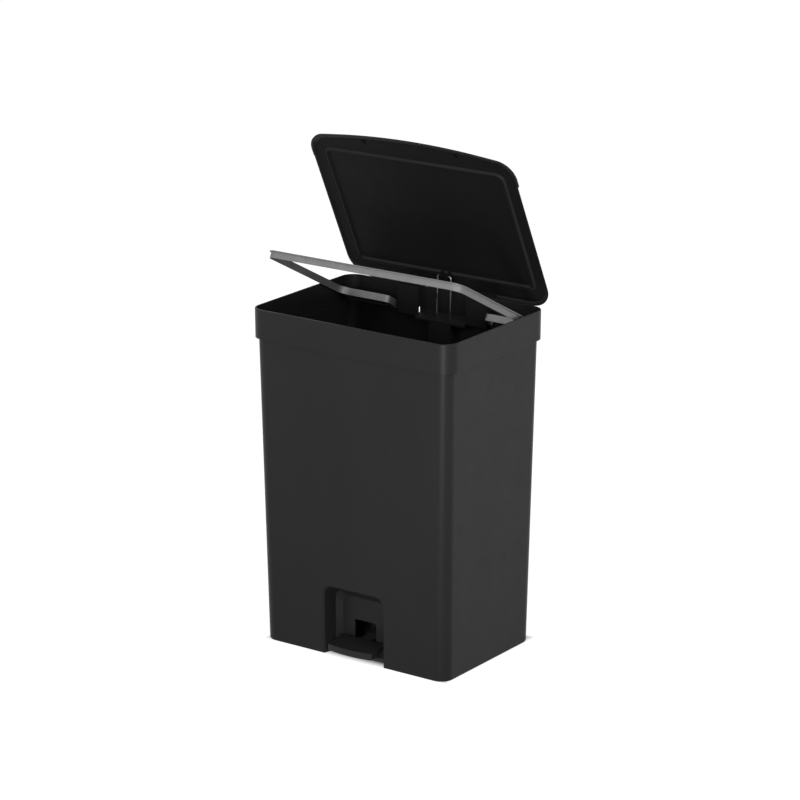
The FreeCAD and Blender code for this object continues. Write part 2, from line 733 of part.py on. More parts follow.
def make_lid():
    """Outer shell: an upright band, a sloping side and a level top, all of one wall."""
    body = new_body("lid", hinge_place, (-1, 0, 0), size.lid_angle)
    none = Size.of(0.0)
    brow = size.lid_band + size.hip_rise
    over = brow + size.brow_rise
    loft("Additive", [
        lid_section(body, "edge", lid_edge, none),
        lid_section(body, "band", lid_edge + size.lid_band, none),
        lid_section(body, "hip", lid_edge + brow, size.hip_run),
        lid_section(body, "brow", lid_edge + over, size.hip_run + size.brow_run),
        lid_section(body, "crown", lid_edge + size.lid_crown, size.crown_run),
    ])
    lip_half = size.lid_width / 2 + size.lip_step
    lip_front = -size.lid_length - size.lip_step
    lip_corners = [
        (-lip_half, -size.lip_start, 0.0),
        (-lip_half, lip_front, size.lid_front_radius),
        (0.0, lip_front - lip_half * size.lid_slope, size.lid_bow_radius),
        (lip_half, lip_front, size.lid_front_radius),
        (lip_half, -size.lip_start, 0.0),
    ]
    pad(outline(body, "lip", "XY_Plane", lid_edge, lip_corners), size.lip_height)
    wall = size.lid_wall
    loft("Subtractive", [
        lid_section(body, "hollow_edge", lid_edge - 1.0, wall),
        lid_section(body, "hollow_band", lid_edge + size.lid_band - (hip_wall - wall) / hip_slope, wall),
        lid_section(body, "hollow_hip", lid_edge + brow - wall * 0.85, size.hip_run + wall * 0.53),
        lid_section(body, "hollow_brow", lid_edge + over - wall * 0.97,
                    size.hip_run + size.brow_run + wall * 0.22),
        lid_section(body, "hollow_crown", lid_edge + size.lid_crown - wall, size.crown_run),
    ])
    places = [(-size.bracket_screw_out, bracket_middle), (size.bracket_screw_out, bracket_middle)]
    boss_top = lid_edge + size.lid_crown - size.lid_wall / 2
    bosses = circles(body, "bosses", "XY_Plane", bracket_seat, 4.0, places)
    pad(bosses, boss_top - bracket_seat)
    holes = circles(body, "boss_holes", "XY_Plane", bracket_seat,
                    (size.screw + size.running_fit) / 2, places)
    pocket(holes, 5.5)
    make_knuckles(body)


def bead_loop(body, name, height, outwards):
    """Rounded loop of the panel's bead, drawn outwards from its outer crest line."""
    corners = rectangle(
        (-size.bead_half - outwards, size.bead_half + outwards),
        (-size.bead_front - outwards, outwards - size.bead_rear), size.bead_radius + outwards)
    return outline(body, name, "XY_Plane", height, corners)


def make_lid_panel():
    """Flat panel that closes the shell underneath, with a raised bead and slots for the lugs."""
    body = new_body("lid_panel", hinge_place, (-1, 0, 0), size.lid_angle)
    loft("Additive", [
        lid_section(body, "under", panel_under, hip_inset(size.panel_drop) + size.seat_gap),
        lid_section(body, "upper", panel_upper,
                    hip_inset(size.panel_drop + size.panel_wall) + size.seat_gap),
    ])
    crest = panel_under - size.bead_height
    root = panel_under + size.panel_wall / 2
    spread = size.bead_slope * (root - crest) / size.bead_height
    loft("Additive", [
        bead_loop(body, "bead_root", root, spread),
        bead_loop(body, "bead_crest", crest, Size.of(0.0)),
    ])
    loft("Subtractive", [
        bead_loop(body, "inside_crest", crest, -size.bead_width),
        bead_loop(body, "inside_foot", panel_under, -size.bead_width - size.bead_slope),
    ])
    slot_inner = size.lug_inner - size.lug_gap
    slot = outline(body, "lug_slot", "XY_Plane", crest - 1.0, rectangle(
        (slot_inner, size.lug_inner + size.lug_wall + size.lug_gap),
        (lug_front - size.lug_gap * 2, lug_back + size.lug_gap * 2)))
    slots = pocket(slot, panel_upper - crest + 2.0)
    notch = outline(body, "knuckle_notch", "XY_Plane", crest - 1.0, rectangle(
        (knuckle_start - size.lug_gap, knuckle_start + knuckle_length + size.lug_gap),
        (-size.knuckle_radius - size.lug_gap, size.lid_tail)))
    mirror([slots, pocket(notch, panel_upper - crest + 2.0)])


knuckle_start = size.pocket_inner + size.pocket_wall + size.side_play
knuckle_length = size.pocket_outer - size.pocket_inner - (size.pocket_wall + size.side_play) * 2


def make_knuckles(body):
    """Two knuckles that turn on the hinge pins, and notches that clear the bin's ears."""
    web_top = lid_edge + size.lid_band + (size.lid_tail - 0.3) / hip_slope
    barrel = size.knuckle_radius
    knuckle = outline(body, "knuckle", "YZ_Plane", knuckle_start, [
        (-barrel, web_top, 0.0),
        (-barrel, -barrel, barrel * 0.95),
        (barrel, -barrel, barrel * 0.95),
        (barrel, barrel * 0.8, barrel * 0.75),
        (-0.3, barrel * 0.8, 0.0),
        (-0.3, web_top, 0.0),
    ])
    mirror([pad(knuckle, knuckle_length)])
    notches = []
    clear = size.ear_radius + 1.2
    for name, inner in (("inner", size.pocket_inner), ("outer", size.pocket_outer - size.pocket_wall)):
        offset = inner - size.side_play
        notch = circles(body, f"notch_{name}", "YZ_Plane", offset, clear, [(0.0, 0.0)])
        notches.append(pocket(notch, size.pocket_wall + size.side_play * 2))
    mirror(notches)
    hole = circles(body, "knuckle_hole", "YZ_Plane", 0.0,
                   (size.hinge_pin + size.running_fit) / 2, [(0.0, 0.0)])
    pocket(hole, size.pocket_outer * 2, "Symmetric")


def make_hinge_pin(label, side):
    """Hinge pin with a head at its inner end."""
    body = new_body(label, hinge_place)
    head = (size.pocket_inner - 2.0) * side
    shoulder = (size.pocket_inner - size.seat_gap) * side
    end = (size.pocket_outer + 3.0) * side
    turned(body, "pin", stepped([
        (head, shoulder, size.hinge_pin * 0.85), (shoulder, end, size.hinge_pin / 2)]))


def make_pin_caps():
    """Push-on caps on the outer ends of both hinge pins."""
    body = new_body("hinge_pin_caps", hinge_place)
    start = size.pocket_outer + size.seat_gap
    inside = size.pocket_outer + 3.2
    end = size.pocket_outer + 4.4
    bore = size.hinge_pin / 2 + 0.05
    cap = turned(body, "cap", [
        (start, bore), (start, size.hinge_pin * 0.9), (end, size.hinge_pin * 0.7),
        (end, 0.0), (inside, 0.0), (inside, bore)])
    mirror([cap])


def make_lid_buffers():
    """Rubber discs under the panel's front that meet the rim when the lid is shut."""
    body = new_body("lid_buffers", hinge_place, (-1, 0, 0), size.lid_angle)
    middle = -hinge_y - size.collar_depth / 2 + size.wall / 2
    bottom = size.hinge_drop + size.seat_gap
    discs = circles(body, "discs", "XY_Plane", bottom, size.buffer_radius,
                    [(-size.buffer_out, middle), (size.buffer_out, middle)])
    pad(discs, panel_under - bottom)


# ---- lift bracket: two lugs with curved slots for the wire's cross-bar ------------------------------

def make_lift_bracket():
    body = new_body("lift_bracket", hinge_place, (-1, 0, 0), size.lid_angle)
    plate = outline(body, "plate", "XY_Plane", bracket_seat, rectangle(
        (-size.bracket_half, size.bracket_half), (lug_front, lug_back)))
    pad(plate, size.bracket_plate, flipped=True)
    root = bracket_seat - size.bracket_plate / 2
    lug = outline(body, "lug", "YZ_Plane", size.lug_inner, [
        (lug_front, root, 0.0),
        (lug_front, lug_front_foot, slot_half),
        (lug_back, lug_back_foot, slot_half),
        (lug_back, root, 0.0),
    ])
    lugs = pad(lug, size.lug_wall)
    slot = new_sketch(body, "slot", "YZ_Plane", size.lug_inner - 0.5)
    draw_slot(slot, float(slot_half))
    slots = pocket(slot, size.lug_wall + 1.0)
    mirror([lugs, slots])
    holes = circles(body, "screw_holes", "XY_Plane", bracket_seat + 0.5, size.screw / 2 + 0.3, [
        (-size.bracket_screw_out, bracket_middle), (size.bracket_screw_out, bracket_middle)])
    pocket(holes, size.bracket_plate + 1.0, flipped=False)


def slot_edge(share, offset):
    """Point beside the cross-bar's path at a share of the lid's opening."""
    step = 0.001
    before = bar_in_lid(share - step)
    after = bar_in_lid(share + step)
    along = FreeCAD.Vector(before[0] - after[0], after[1] - before[1], 0)
    along.normalize()
    ahead, above = bar_in_lid(share)
    return FreeCAD.Vector(-ahead, above, 0) + FreeCAD.Vector(-along.y, along.x, 0) * offset


def draw_slot(sketch, half):
    """Slot of one width along the cross-bar's path: two arcs a side and two round ends."""
    chains = [
        [slot_edge(share, half) for share in (0.0, 0.25, 0.5)],
        [slot_edge(share, half) for share in (0.5, 0.75, 1.0)],
        [slot_edge(1.0, half), slot_tip(1.0, half), slot_edge(1.0, -half)],
        [slot_edge(share, -half) for share in (1.0, 0.75, 0.5)],
        [slot_edge(share, -half) for share in (0.5, 0.25, 0.0)],
        [slot_edge(0.0, -half), slot_tip(0.0, half), slot_edge(0.0, half)],
    ]
    for chain in chains:
        circle = Part.Arc(*chain).toShape().Curve
        first, last = [math.atan2(spot.y - circle.Center.y, spot.x - circle.Center.x)
                       for spot in (chain[0], chain[2])]
        turns_left = (chain[1] - chain[0]).cross(chain[2] - chain[1]).z > 0
        if not turns_left:
            first, last = last, first
        circle = Part.Circle(circle.Center, FreeCAD.Vector(0, 0, 1), circle.Radius)
        arc = sketch.addGeometry(Part.ArcOfCircle(circle, first, last), False)
        sketch.addConstraint(Sketcher.Constraint("Block", arc))


def slot_tip(share, half):
    """Outermost point of a slot's round end."""
    ahead, above = bar_in_lid(share)
    middle = FreeCAD.Vector(-ahead, above, 0)
    aside = slot_edge(share, half) - middle
    outwards = -1.0 if share > 0.5 else 1.0
    return middle + FreeCAD.Vector(aside.y, -aside.x, 0) * -outwards


def make_bracket_screws():
    body = new_body("lift_bracket_screws", hinge_place, (-1, 0, 0), size.lid_angle)
    places = [(-size.bracket_screw_out, bracket_middle), (size.bracket_screw_out, bracket_middle)]
    under = bracket_seat - size.bracket_plate
    pad(hexagons(body, "heads", "XY_Plane", under, size.screw, places), 1.2, flipped=True)
    pad(circles(body, "shanks", "XY_Plane", under - 0.5, size.screw / 2, places), 7.5)


# ---- bag frame --------------------------------------------------------------------------------------
# Drawn level, from the pivot axis.

pivot_place = (0.0, pivot_y, pivot_z)


def make_bag_frame():
    """Bent strip with an outward lip, swept along the frame's outline, and two eyes."""
    body = new_body("bag_frame", pivot_place, (-1, 0, 0), size.frame_angle)
    lip_reach = size.frame_lip + size.strip / 2
    side = size.collar_width / 2 - size.wall - size.frame_gap - lip_reach
    front = -pivot_y - collar_inner_back + size.frame_gap + lip_reach
    tab_end = Size.of(-2.0)
    path = new_sketch(body, "path", "XY_Plane")
    draw_path(path, [
        (-size.tab_out, tab_end, 0.0),
        (-size.tab_out, -size.frame_rear, size.tab_bend),
        (-side, -size.frame_rear, size.frame_radius),
        (-side, front, size.frame_radius),
        (side, front, size.frame_radius),
        (side, -size.frame_rear, size.frame_radius),
        (size.tab_out, -size.frame_rear, size.tab_bend),
        (size.tab_out, tab_end, 0.0),
    ], False)
    top = size.strip_rise
    web_out = -size.tab_out - size.strip / 2
    section = outline(body, "section", "XZ_Plane", -tab_end, [
        (web_out + size.strip, top - size.strip_height, 0.0),
        (web_out + size.strip, top, 0.0),
        (web_out - size.frame_lip, top, 0.0),
        (web_out - size.frame_lip, top - size.frame_lip_wall, 0.0),
        (web_out, top - size.frame_lip_wall, 0.0),
        (web_out, top - size.strip_height, 0.0),
    ])
    strip = body.newObject("PartDesign::AdditivePipe", "bag_frame_strip")
    strip.Profile = section
    strip.Spine = path
    eye = circles(body, "eye", "YZ_Plane", size.tab_out - size.strip / 2, size.rivet / 2 + 3.0,
                  [(0.0, 0.0)])
    mirror([pad(eye, size.strip)])
    hole = circles(body, "eye_hole", "YZ_Plane", 0.0, (size.rivet + size.running_fit) / 2,
                   [(0.0, 0.0)])
    pocket(hole, (size.tab_out + size.strip) * 2, "Symmetric")


def make_frame_rivet(label, side):
    """Rivet from inside the hinge pocket through the bush to a head outside the frame's eye."""
    body = new_body(label, pivot_place)
    wall_inside = size.pocket_outer - size.pocket_wall
    head_start = size.tab_out + size.strip / 2 + 0.1
    turned(body, "rivet", stepped([
        ((wall_inside - 2.0) * side, (wall_inside - 0.2) * side, size.rivet * 0.9),
        ((wall_inside - 0.2) * side, head_start * side, size.rivet / 2),
        (head_start * side, (head_start + 1.8) * side, size.rivet * 0.9),
    ]))


def make_frame_bush(label, side):
    """Flanged nylon bush in the pocket wall; its flange carries the frame's eye."""
    body = new_body(label, pivot_place)
    bore = size.rivet / 2 + 0.1
    sleeve = size.rivet / 2 + size.bush_wall
    flange_start = size.pocket_outer + 0.1
    flange_end = size.tab_out - size.strip / 2 - 0.2
    turned(body, "bush", stepped([
        ((size.pocket_outer - size.pocket_wall + 0.2) * side, flange_start * side, sleeve),
        (flange_start * side, flange_end * side, sleeve + size.bush_wall * 1.5),
    ], bore))


# ---- lift wire and its guides -----------------------------------------------------------------------

pressed_cos = cosine(size.pedal_pitch)
pressed_sin = sine(size.pedal_pitch)


def hook_height_from(arm):
    """Height of the wire's hooks when the pedal is pressed, for a rear arm length."""
    return size.lever_rise + arm * pressed_sin - size.hook_drop * pressed_cos


def rear_arm_length():
    """Rear arm that brings the lever's hook holes onto the wire's line."""
    at_axle = wire_y(size.lever_rise - size.hook_drop * pressed_cos)
    offset = at_axle - size.lever_back - size.hook_drop * pressed_sin
    return offset / (pressed_cos - wire_slope * pressed_sin)


rear_arm = rear_arm_length()
hook_height = hook_height_from(rear_arm)
wire_length = (size.bin_height + size.bar_rise - hook_height) / cosine(lean)


def make_lift_wire():
    """Hairpin wire: hooks at the lever, two long legs and a cross-bar at the lid."""
    body = new_body("lift_wire", (0.0, wire_y(hook_height), hook_height), (-1, 0, 0), lean)
    path = new_sketch(body, "path", "XZ_Plane")
    draw_path(path, [
        (-size.wire_hook, 0.0, 0.0),
        (-size.wire_half, 0.0, 0.0),
        (-size.wire_half, wire_length, size.wire_bend),
        (size.wire_half, wire_length, size.wire_bend),
        (size.wire_half, 0.0, 0.0),
        (size.wire_hook, 0.0, 0.0),
    ], False)
    section = circles(body, "section", "YZ_Plane", -size.wire_hook, size.wire_radius, [(0.0, 0.0)])
    wire = body.newObject("PartDesign::AdditivePipe", "lift_wire_sweep")
    wire.Profile = section
    wire.Spine = path
    wire.Transition = "Right corner"


def make_wire_guide(label, height):
    """Guide block pushed into the rear channel, with two holes for the wire's legs."""
    body = new_body(label, (0.0, wire_y(height), height), (-1, 0, 0), lean)
    half = size.channel_half - size.wall - size.seat_gap
    front = size.wall + size.seat_gap - size.channel_reach
    corners = [
        (-half, front, 0.0),
        (half, front, 0.0),
        (half, 4.0, 1.5),
        (size.wire_half - 5.0, 4.0, 1.5),
        (size.wire_half - 5.0, front + 3.0, 1.5),
        (5.0 - size.wire_half, front + 3.0, 1.5),
        (5.0 - size.wire_half, 4.0, 1.5),
        (-half, 4.0, 1.5),
    ]
    block = outline(body, "block", "XY_Plane", 0.0, corners)
    pad(block, size.guide_half_height * 2, "Symmetric")
    holes = circles(body, "holes", "XY_Plane", 0.0, size.wire_radius + 0.4,
                    [(-size.wire_half, 0.0), (size.wire_half, 0.0)])
    pocket(holes, size.guide_half_height * 4, "Symmetric")


# ---- pedal, lever and axle --------------------------------------------------------------------------
# Drawn level, from the lever's axle.

axle_place = (0.0, size.lever_back, size.lever_rise)
first_screw = pad_rear + size.pad_screw_inset
pedal_screw_places = [(0.0, -first_screw), (0.0, -first_screw - size.pad_screw_pitch)]


def make_pedal_lever():
    """Bent sheet channel with a hub for the axle and holes for the wire's hooks."""
    body = new_body("pedal_lever", axle_place, (1, 0, 0), size.pedal_pitch)
    side = outline(body, "side", "YZ_Plane", 0.0, [
        (-lever_front, -size.lever_flange, 2.0),
        (rear_arm + size.hook_tail, -size.lever_flange, 3.0),
        (rear_arm + size.hook_tail, size.lever_top, 3.0),
        (-lever_front, size.lever_top, 2.0),
    ])
    pad(side, size.lever_half * 2, "Symmetric")
    inner = size.lever_half - size.lever_sheet
    trough = outline(body, "trough", "XY_Plane", -size.lever_flange, rectangle(
        (-inner, inner), (-lever_front - 1.0, rear_arm + size.hook_tail + 1.0)))
    pocket(trough, size.lever_flange + size.lever_top - size.lever_sheet)
    pad(circles(body, "hub", "YZ_Plane", 0.0, size.hub_radius, [(0.0, 0.0)]),
        size.hub_half * 2, "Symmetric")
    bore = size.axle / 2 + size.bush_wall + size.running_fit / 2
    pocket(circles(body, "bore", "YZ_Plane", 0.0, bore, [(0.0, 0.0)]),
           (size.hub_half + 1.0) * 2, "Symmetric")
    play = size.wire_radius + 0.8
    hook_slot = outline(body, "hook_slot", "YZ_Plane", 0.0, rectangle(
        (rear_arm - play - 1.0, rear_arm + play + 1.0),
        (-size.hook_drop - play, play - size.hook_drop), play * 0.95))
    pocket(hook_slot, (size.lever_half + 1.0) * 2, "Symmetric")
    holes = circles(body, "screw_holes", "XY_Plane", 0.0, size.screw / 2 + 0.3, pedal_screw_places)
    pocket(holes, size.lever_top + 1.0)


def make_pedal_pad():
    """Moulded pedal with a bowed front, hollow underneath, seated on the lever."""
    body = new_body("pedal_pad", axle_place, (1, 0, 0), size.pedal_pitch)

    def plan(inset):
        half = size.pad_half - inset
        corner = size.pad_corner - inset
        return [
            (-half, -pad_rear - inset, corner),
            (-half, inset - pad_front, corner),
            (0.0, inset - pad_front - size.pad_bow, size.pad_bow_radius),
            (half, inset - pad_front, corner),
            (half, -pad_rear - inset, corner),
        ]

    under = size.pad_top - size.pad_height
    low = outline(body, "plan_low", "XY_Plane", under, plan(Size.of(0.0)))
    high = outline(body, "plan_high", "XY_Plane", size.pad_top - size.pad_edge, plan(Size.of(0.0)))
    top = outline(body, "plan_top", "XY_Plane", size.pad_top, plan(size.pad_edge * 0.8))
    loft("Additive", [low, high, top])
    hollow = outline(body, "hollow", "XY_Plane", under, plan(size.pad_wall))
    pocket(hollow, size.lever_top - under)
    slant = outline(body, "slant", "YZ_Plane", 0.0, [
        (-pad_rear + 2.0, -0.5, 0.0),
        (-pad_front + 6.0, under, 0.0),
        (-pad_front + 6.0, under - 2.0, 0.0),
        (-pad_rear + 2.0, under - 2.0, 0.0),
    ])
    pocket(slant, size.pad_half * 2 + 2.0, "Symmetric")
    gate = outline(body, "lever_gate", "XZ_Plane", pad_rear - 1.0, rectangle(
        (-size.lever_half - 0.5, size.lever_half + 0.5), (under - 1.0, size.lever_top)))
    pocket(gate, size.pad_wall + 2.0)
    holes = circles(body, "screw_holes", "XY_Plane", size.lever_top - 1.0,
                    (size.screw + size.running_fit) / 2, pedal_screw_places)
    pocket(holes, 2.3)


def make_pedal_screws():
    body = new_body("pedal_screws", axle_place, (1, 0, 0), size.pedal_pitch)
    seat = size.lever_top - size.lever_sheet
    pad(hexagons(body, "heads", "XY_Plane", seat, size.screw, pedal_screw_places), 1.8, flipped=True)
    pad(circles(body, "shanks", "XY_Plane", seat - 0.5, size.screw / 2, pedal_screw_places),
        size.lever_sheet + 1.6)


def make_lever_bush(label, side):
    """Flanged nylon bush between the lever's hub and the axle."""
    body = new_body(label, axle_place)
    bore = size.axle / 2 + size.running_fit / 2
    sleeve = size.axle / 2 + size.bush_wall
    turned(body, "bush", stepped([
        (size.hub_half * 0.3 * side, (size.hub_half + 0.1) * side, sleeve),
        ((size.hub_half + 0.1) * side, (size.hub_half + size.bush_wall) * side, sleeve + 2.0),
    ], bore))


def make_axle():
    body = new_body("pedal_axle", axle_place)
    end = bearing_outer + 2.5
    turned(body, "axle", stepped([(-end, end, size.axle / 2)]))


def make_axle_clips():
    """Retaining rings on both ends of the axle."""
    body = new_body("axle_clips", axle_place)
    start = bearing_outer + size.seat_gap
    clip = turned(body, "clip", stepped([(start, start + 1.2, size.axle / 2 + 2.5)],
                                        size.axle / 2 + 0.05))
    mirror([clip])


def make_axle_bearing(label, side):
    """Bearing block that hangs from the seat under the floor."""
    body = new_body(label, axle_place)
    top = mount_under - size.lever_rise
    flange = top - 5.0
    half = size.bearing_radius
    reach = bearing_screw_reach + 6.0
    corners = [
        (-half, -half, half * 0.98),
        (half, -half, half * 0.98),
        (half, flange, 3.0),
        (reach, flange, 0.0),
        (reach, top, 1.5),
        (-reach, top, 1.5),
        (-reach, flange, 0.0),
        (-half, flange, 3.0),
    ]
    start = bearing_inner if side > 0 else -bearing_outer
    pad(outline(body, "profile", "YZ_Plane", start, corners), size.bearing_wall)
    bore = (size.axle + size.running_fit) / 2
    pocket(circles(body, "bore", "YZ_Plane", start - 1.0, bore, [(0.0, 0.0)]), size.bearing_wall + 2.0)
    places = [(bearing_middle * side, -bearing_screw_reach), (bearing_middle * side, bearing_screw_reach)]
    holes = circles(body, "screw_holes", "XY_Plane", flange - 1.0, size.screw / 2 + 0.3, places)
    pocket(holes, 7.0)


def make_bearing_screws():
    body = new_body("bearing_screws")
    flange = mount_under - 5.0
    places = bearing_screw_places()
    pad(hexagons(body, "heads", "XY_Plane", flange, size.screw, places), 2.0, flipped=True)
    pad(circles(body, "shanks", "XY_Plane", flange - 0.5, size.screw / 2, places),
        5.5 + size.mount_height)


# ---- build ------------------------------------------------------------------------------------------

make_bin_body()
make_lid()
make_lid_panel()
make_hinge_pin("lid_hinge_pin_left", -1)
make_hinge_pin("lid_hinge_pin_right", 1)
make_pin_caps()
make_lid_buffers()
make_lift_bracket()
make_bracket_screws()
make_bag_frame()
make_frame_rivet("bag_frame_rivet_left", -1)
make_frame_rivet("bag_frame_rivet_right", 1)
make_frame_bush("bag_frame_bush_left", -1)
make_frame_bush("bag_frame_bush_right", 1)
make_lift_wire()
make_wire_guide("wire_guide_lower", size.guide_low)
make_wire_guide("wire_guide_upper", size.guide_high)
make_pedal_lever()
make_pedal_pad()
make_pedal_screws()
make_lever_bush("lever_bush_left", -1)
make_lever_bush("lever_bush_right", 1)
make_axle()
make_axle_clips()
make_axle_bearing("axle_bearing_left", -1)
make_axle_bearing("axle_bearing_right", 1)
make_bearing_screws()
doc.recompute()

for item in doc.Objects:
    if "Invalid" in item.State or "Error" in item.State:
        raise RuntimeError(f"{item.Name} failed: {item.State}")
for body in bodies:
    if body.Shape.isNull() or not body.Shape.isValid():
        raise RuntimeError(f"{body.Label} has no valid shape")

os.makedirs("parts", exist_ok=True)
for body in bodies:
    body.Shape.exportStep(f"parts/{body.Label}.step")
    print(body.Label, len(body.Shape.Solids), round(body.Shape.Volume))
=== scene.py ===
"""Dressed scene of the pedal trash can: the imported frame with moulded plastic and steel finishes."""

import json
import math

import bmesh
import bpy
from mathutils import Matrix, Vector


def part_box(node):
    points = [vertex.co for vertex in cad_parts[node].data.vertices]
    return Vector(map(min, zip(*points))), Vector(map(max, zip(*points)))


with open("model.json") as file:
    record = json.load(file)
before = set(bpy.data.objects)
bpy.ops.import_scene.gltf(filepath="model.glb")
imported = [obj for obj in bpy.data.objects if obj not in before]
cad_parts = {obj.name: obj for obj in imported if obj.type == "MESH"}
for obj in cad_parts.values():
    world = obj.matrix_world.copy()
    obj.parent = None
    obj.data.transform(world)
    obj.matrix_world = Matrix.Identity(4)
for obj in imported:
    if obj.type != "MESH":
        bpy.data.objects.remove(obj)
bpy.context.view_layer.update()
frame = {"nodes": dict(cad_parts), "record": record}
nodes = frame["nodes"]
record = frame["record"]
scene = bpy.context.scene


# ---- node trees ----------------------------------------------------------------------------------

class Tree:
    """Short ways to add nodes to a shader tree."""

    def __init__(self, tree):
        self.tree = tree

    def add(self, kind):
        return self.tree.nodes.new(kind)

    def link(self, output, target):
        self.tree.links.new(output, target)

    def feed(self, value, target):
        """Give an input a socket to follow or a fixed value."""
        if isinstance(value, bpy.types.NodeSocket):
            self.link(value, target)
        else:
            target.default_value = value

    def math(self, operation, *values):
        node = self.add("ShaderNodeMath")
        node.operation = operation
        for value, target in zip(values, node.inputs):
            self.feed(value, target)
        return node.outputs[0]

    def vector(self, operation, first, second, output):
        node = self.add("ShaderNodeVectorMath")
        node.operation = operation
        self.feed(first, node.inputs[0])
        self.feed(second, node.inputs[1])
        return node.outputs[output]

    def split(self, vector):
        node = self.add("ShaderNodeSeparateXYZ")
        self.link(vector, node.inputs[0])
        return node.outputs

    def ramp(self, factor, low, high, start=0.3, end=0.7):
        """Map the factor from start and end to low and high, held level beyond both."""
        node = self.add("ShaderNodeMapRange")
        node.inputs["From Min"].default_value = start
        node.inputs["From Max"].default_value = end
        node.inputs["To Min"].default_value = low
        node.inputs["To Max"].default_value = high
        self.link(factor, node.inputs["Value"])
        return node.outputs["Result"]

    def mix(self, factor, first, second):
        """Blend of two colours, each a socket or a fixed colour."""
        node = self.add("ShaderNodeMix")
        node.data_type = "RGBA"
        colour_a = node.inputs[6]
        colour_b = node.inputs[7]
        for colour, target in ((first, colour_a), (second, colour_b)):
            if isinstance(colour, tuple):
                colour = (*colour, 1.0)
            self.feed(colour, target)
        self.link(factor, node.inputs[0])
        return node.outputs[2]


class Finish(Tree):
    """A new material, with helpers for its surface patterns. Lengths are in metres."""

    def __init__(self, name):
        self.material = bpy.data.materials.new(name)
        self.material.use_nodes = True
        super().__init__(self.material.node_tree)
        self.inputs = self.tree.nodes["Principled BSDF"].inputs
        place = self.add("ShaderNodeTexCoord")
        self.coord = place.outputs["Object"]
        self.facing = place.outputs["Normal"]

    def noise(self, scale, detail=4.0, rough=0.55, stretch=(1, 1, 1)):
        mapping = self.add("ShaderNodeMapping")
        mapping.inputs["Scale"].default_value = stretch
        self.link(self.coord, mapping.inputs["Vector"])
        node = self.add("ShaderNodeTexNoise")
        node.inputs["Scale"].default_value = scale
        node.inputs["Detail"].default_value = detail
        node.inputs["Roughness"].default_value = rough
        self.link(mapping.outputs["Vector"], node.inputs["Vector"])
        return node.outputs["Fac"]

    def bump(self, height, strength, distance, base):
        node = self.add("ShaderNodeBump")
        node.inputs["Strength"].default_value = strength
        node.inputs["Distance"].default_value = distance
        self.link(height, node.inputs["Height"])
        self.link(base, node.inputs["Normal"])
        return node.outputs["Normal"]

    def soft_edges(self, radius):
        node = self.add("ShaderNodeBevel")
        node.samples = 6
        node.inputs["Radius"].default_value = radius
        return node.outputs["Normal"]


def tinted(colour, factor):
    """The colour made lighter or darker, and never brighter than white."""
    return tuple(min(1.0, channel * factor) for channel in colour)


# ---- finishes ------------------------------------------------------------------------------------

plastic = (0.0135, 0.0137, 0.0142)
# Painted shade: a darker copy of the plastic for the lid panel, its bracket and buffers and the wire's
# cross-bar.
shaded_plastic = (0.009, 0.0091, 0.0095)
pedal_black = (0.012, 0.012, 0.0125)
nylon = (0.03, 0.03, 0.031)
bearing_nylon = (0.025, 0.025, 0.026)
lever_black = (0.02, 0.02, 0.0205)
frame_grey = (0.2, 0.2, 0.203)
wire_grey = (0.3, 0.3, 0.305)
clip_grey = (0.4, 0.4, 0.41)
bright_steel = (0.5, 0.5, 0.51)
rivet_bright = (0.6, 0.6, 0.61)

plastic_gloss = 0.17
# Painted shade: the lower shine of that darker copy.
shaded_gloss = 0.055
fine_grain = 2600.0
nylon_grain = 3000.0

# Scales of a pattern along x, y and z: the higher the scale, the finer the pattern that way.
along_x = (1.0, 60.0, 60.0)
across_z = (1.0, 1.0, 60.0)
along_z = (60.0, 60.0, 1.0)
all_ways = (1.0, 1.0, 1.0)
down_flow = (1.0, 1.0, 0.35)


def moulded(name, colour, rough=0.44, edge=0.0012, gloss=plastic_gloss, grain=fine_grain):
    """Moulded plastic: fine spark-eroded grain, faint flow marks and softened edges."""
    n = Finish(name)
    flow = n.noise(scale=5.0, detail=5.0, rough=0.6, stretch=down_flow)
    dark = tinted(colour, 0.86)
    light = tinted(colour, 1.18)
    n.link(n.mix(n.ramp(flow, 0.0, 1.0), dark, light), n.inputs["Base Color"])
    wear = n.noise(scale=38.0, detail=6.0, rough=0.7)
    n.link(n.ramp(wear, rough - 0.05, rough + 0.06), n.inputs["Roughness"])
    waves = n.noise(scale=14.0, detail=2.0, rough=0.4)
    wavy = n.bump(waves, strength=0.12, distance=0.0004, base=n.soft_edges(edge))
    pits = n.noise(scale=grain, detail=2.0, rough=0.5)
    n.link(n.bump(pits, strength=0.22, distance=0.00006, base=wavy), n.inputs["Normal"])
    n.inputs["Specular IOR Level"].default_value = gloss
    return n


def brushed(name, colour, rough=0.3, stretch=across_z, metal=1.0):
    """Drawn or brushed metal: fine lines in its tone and surface, faint patches in its shine."""
    n = Finish(name)
    lines = n.noise(scale=420.0, detail=3.0, rough=0.6, stretch=stretch)
    dark = tinted(colour, 0.82)
    light = tinted(colour, 1.15)
    n.link(n.mix(n.ramp(lines, 0.0, 1.0), dark, light), n.inputs["Base Color"])
    patches = n.noise(scale=60.0, detail=4.0, rough=0.6)
    n.link(n.ramp(patches, rough - 0.06, rough + 0.1), n.inputs["Roughness"])
    scratched = n.bump(lines, strength=0.15, distance=0.00004, base=n.soft_edges(0.0005))
    n.link(scratched, n.inputs["Normal"])
    n.inputs["Metallic"].default_value = metal
    return n


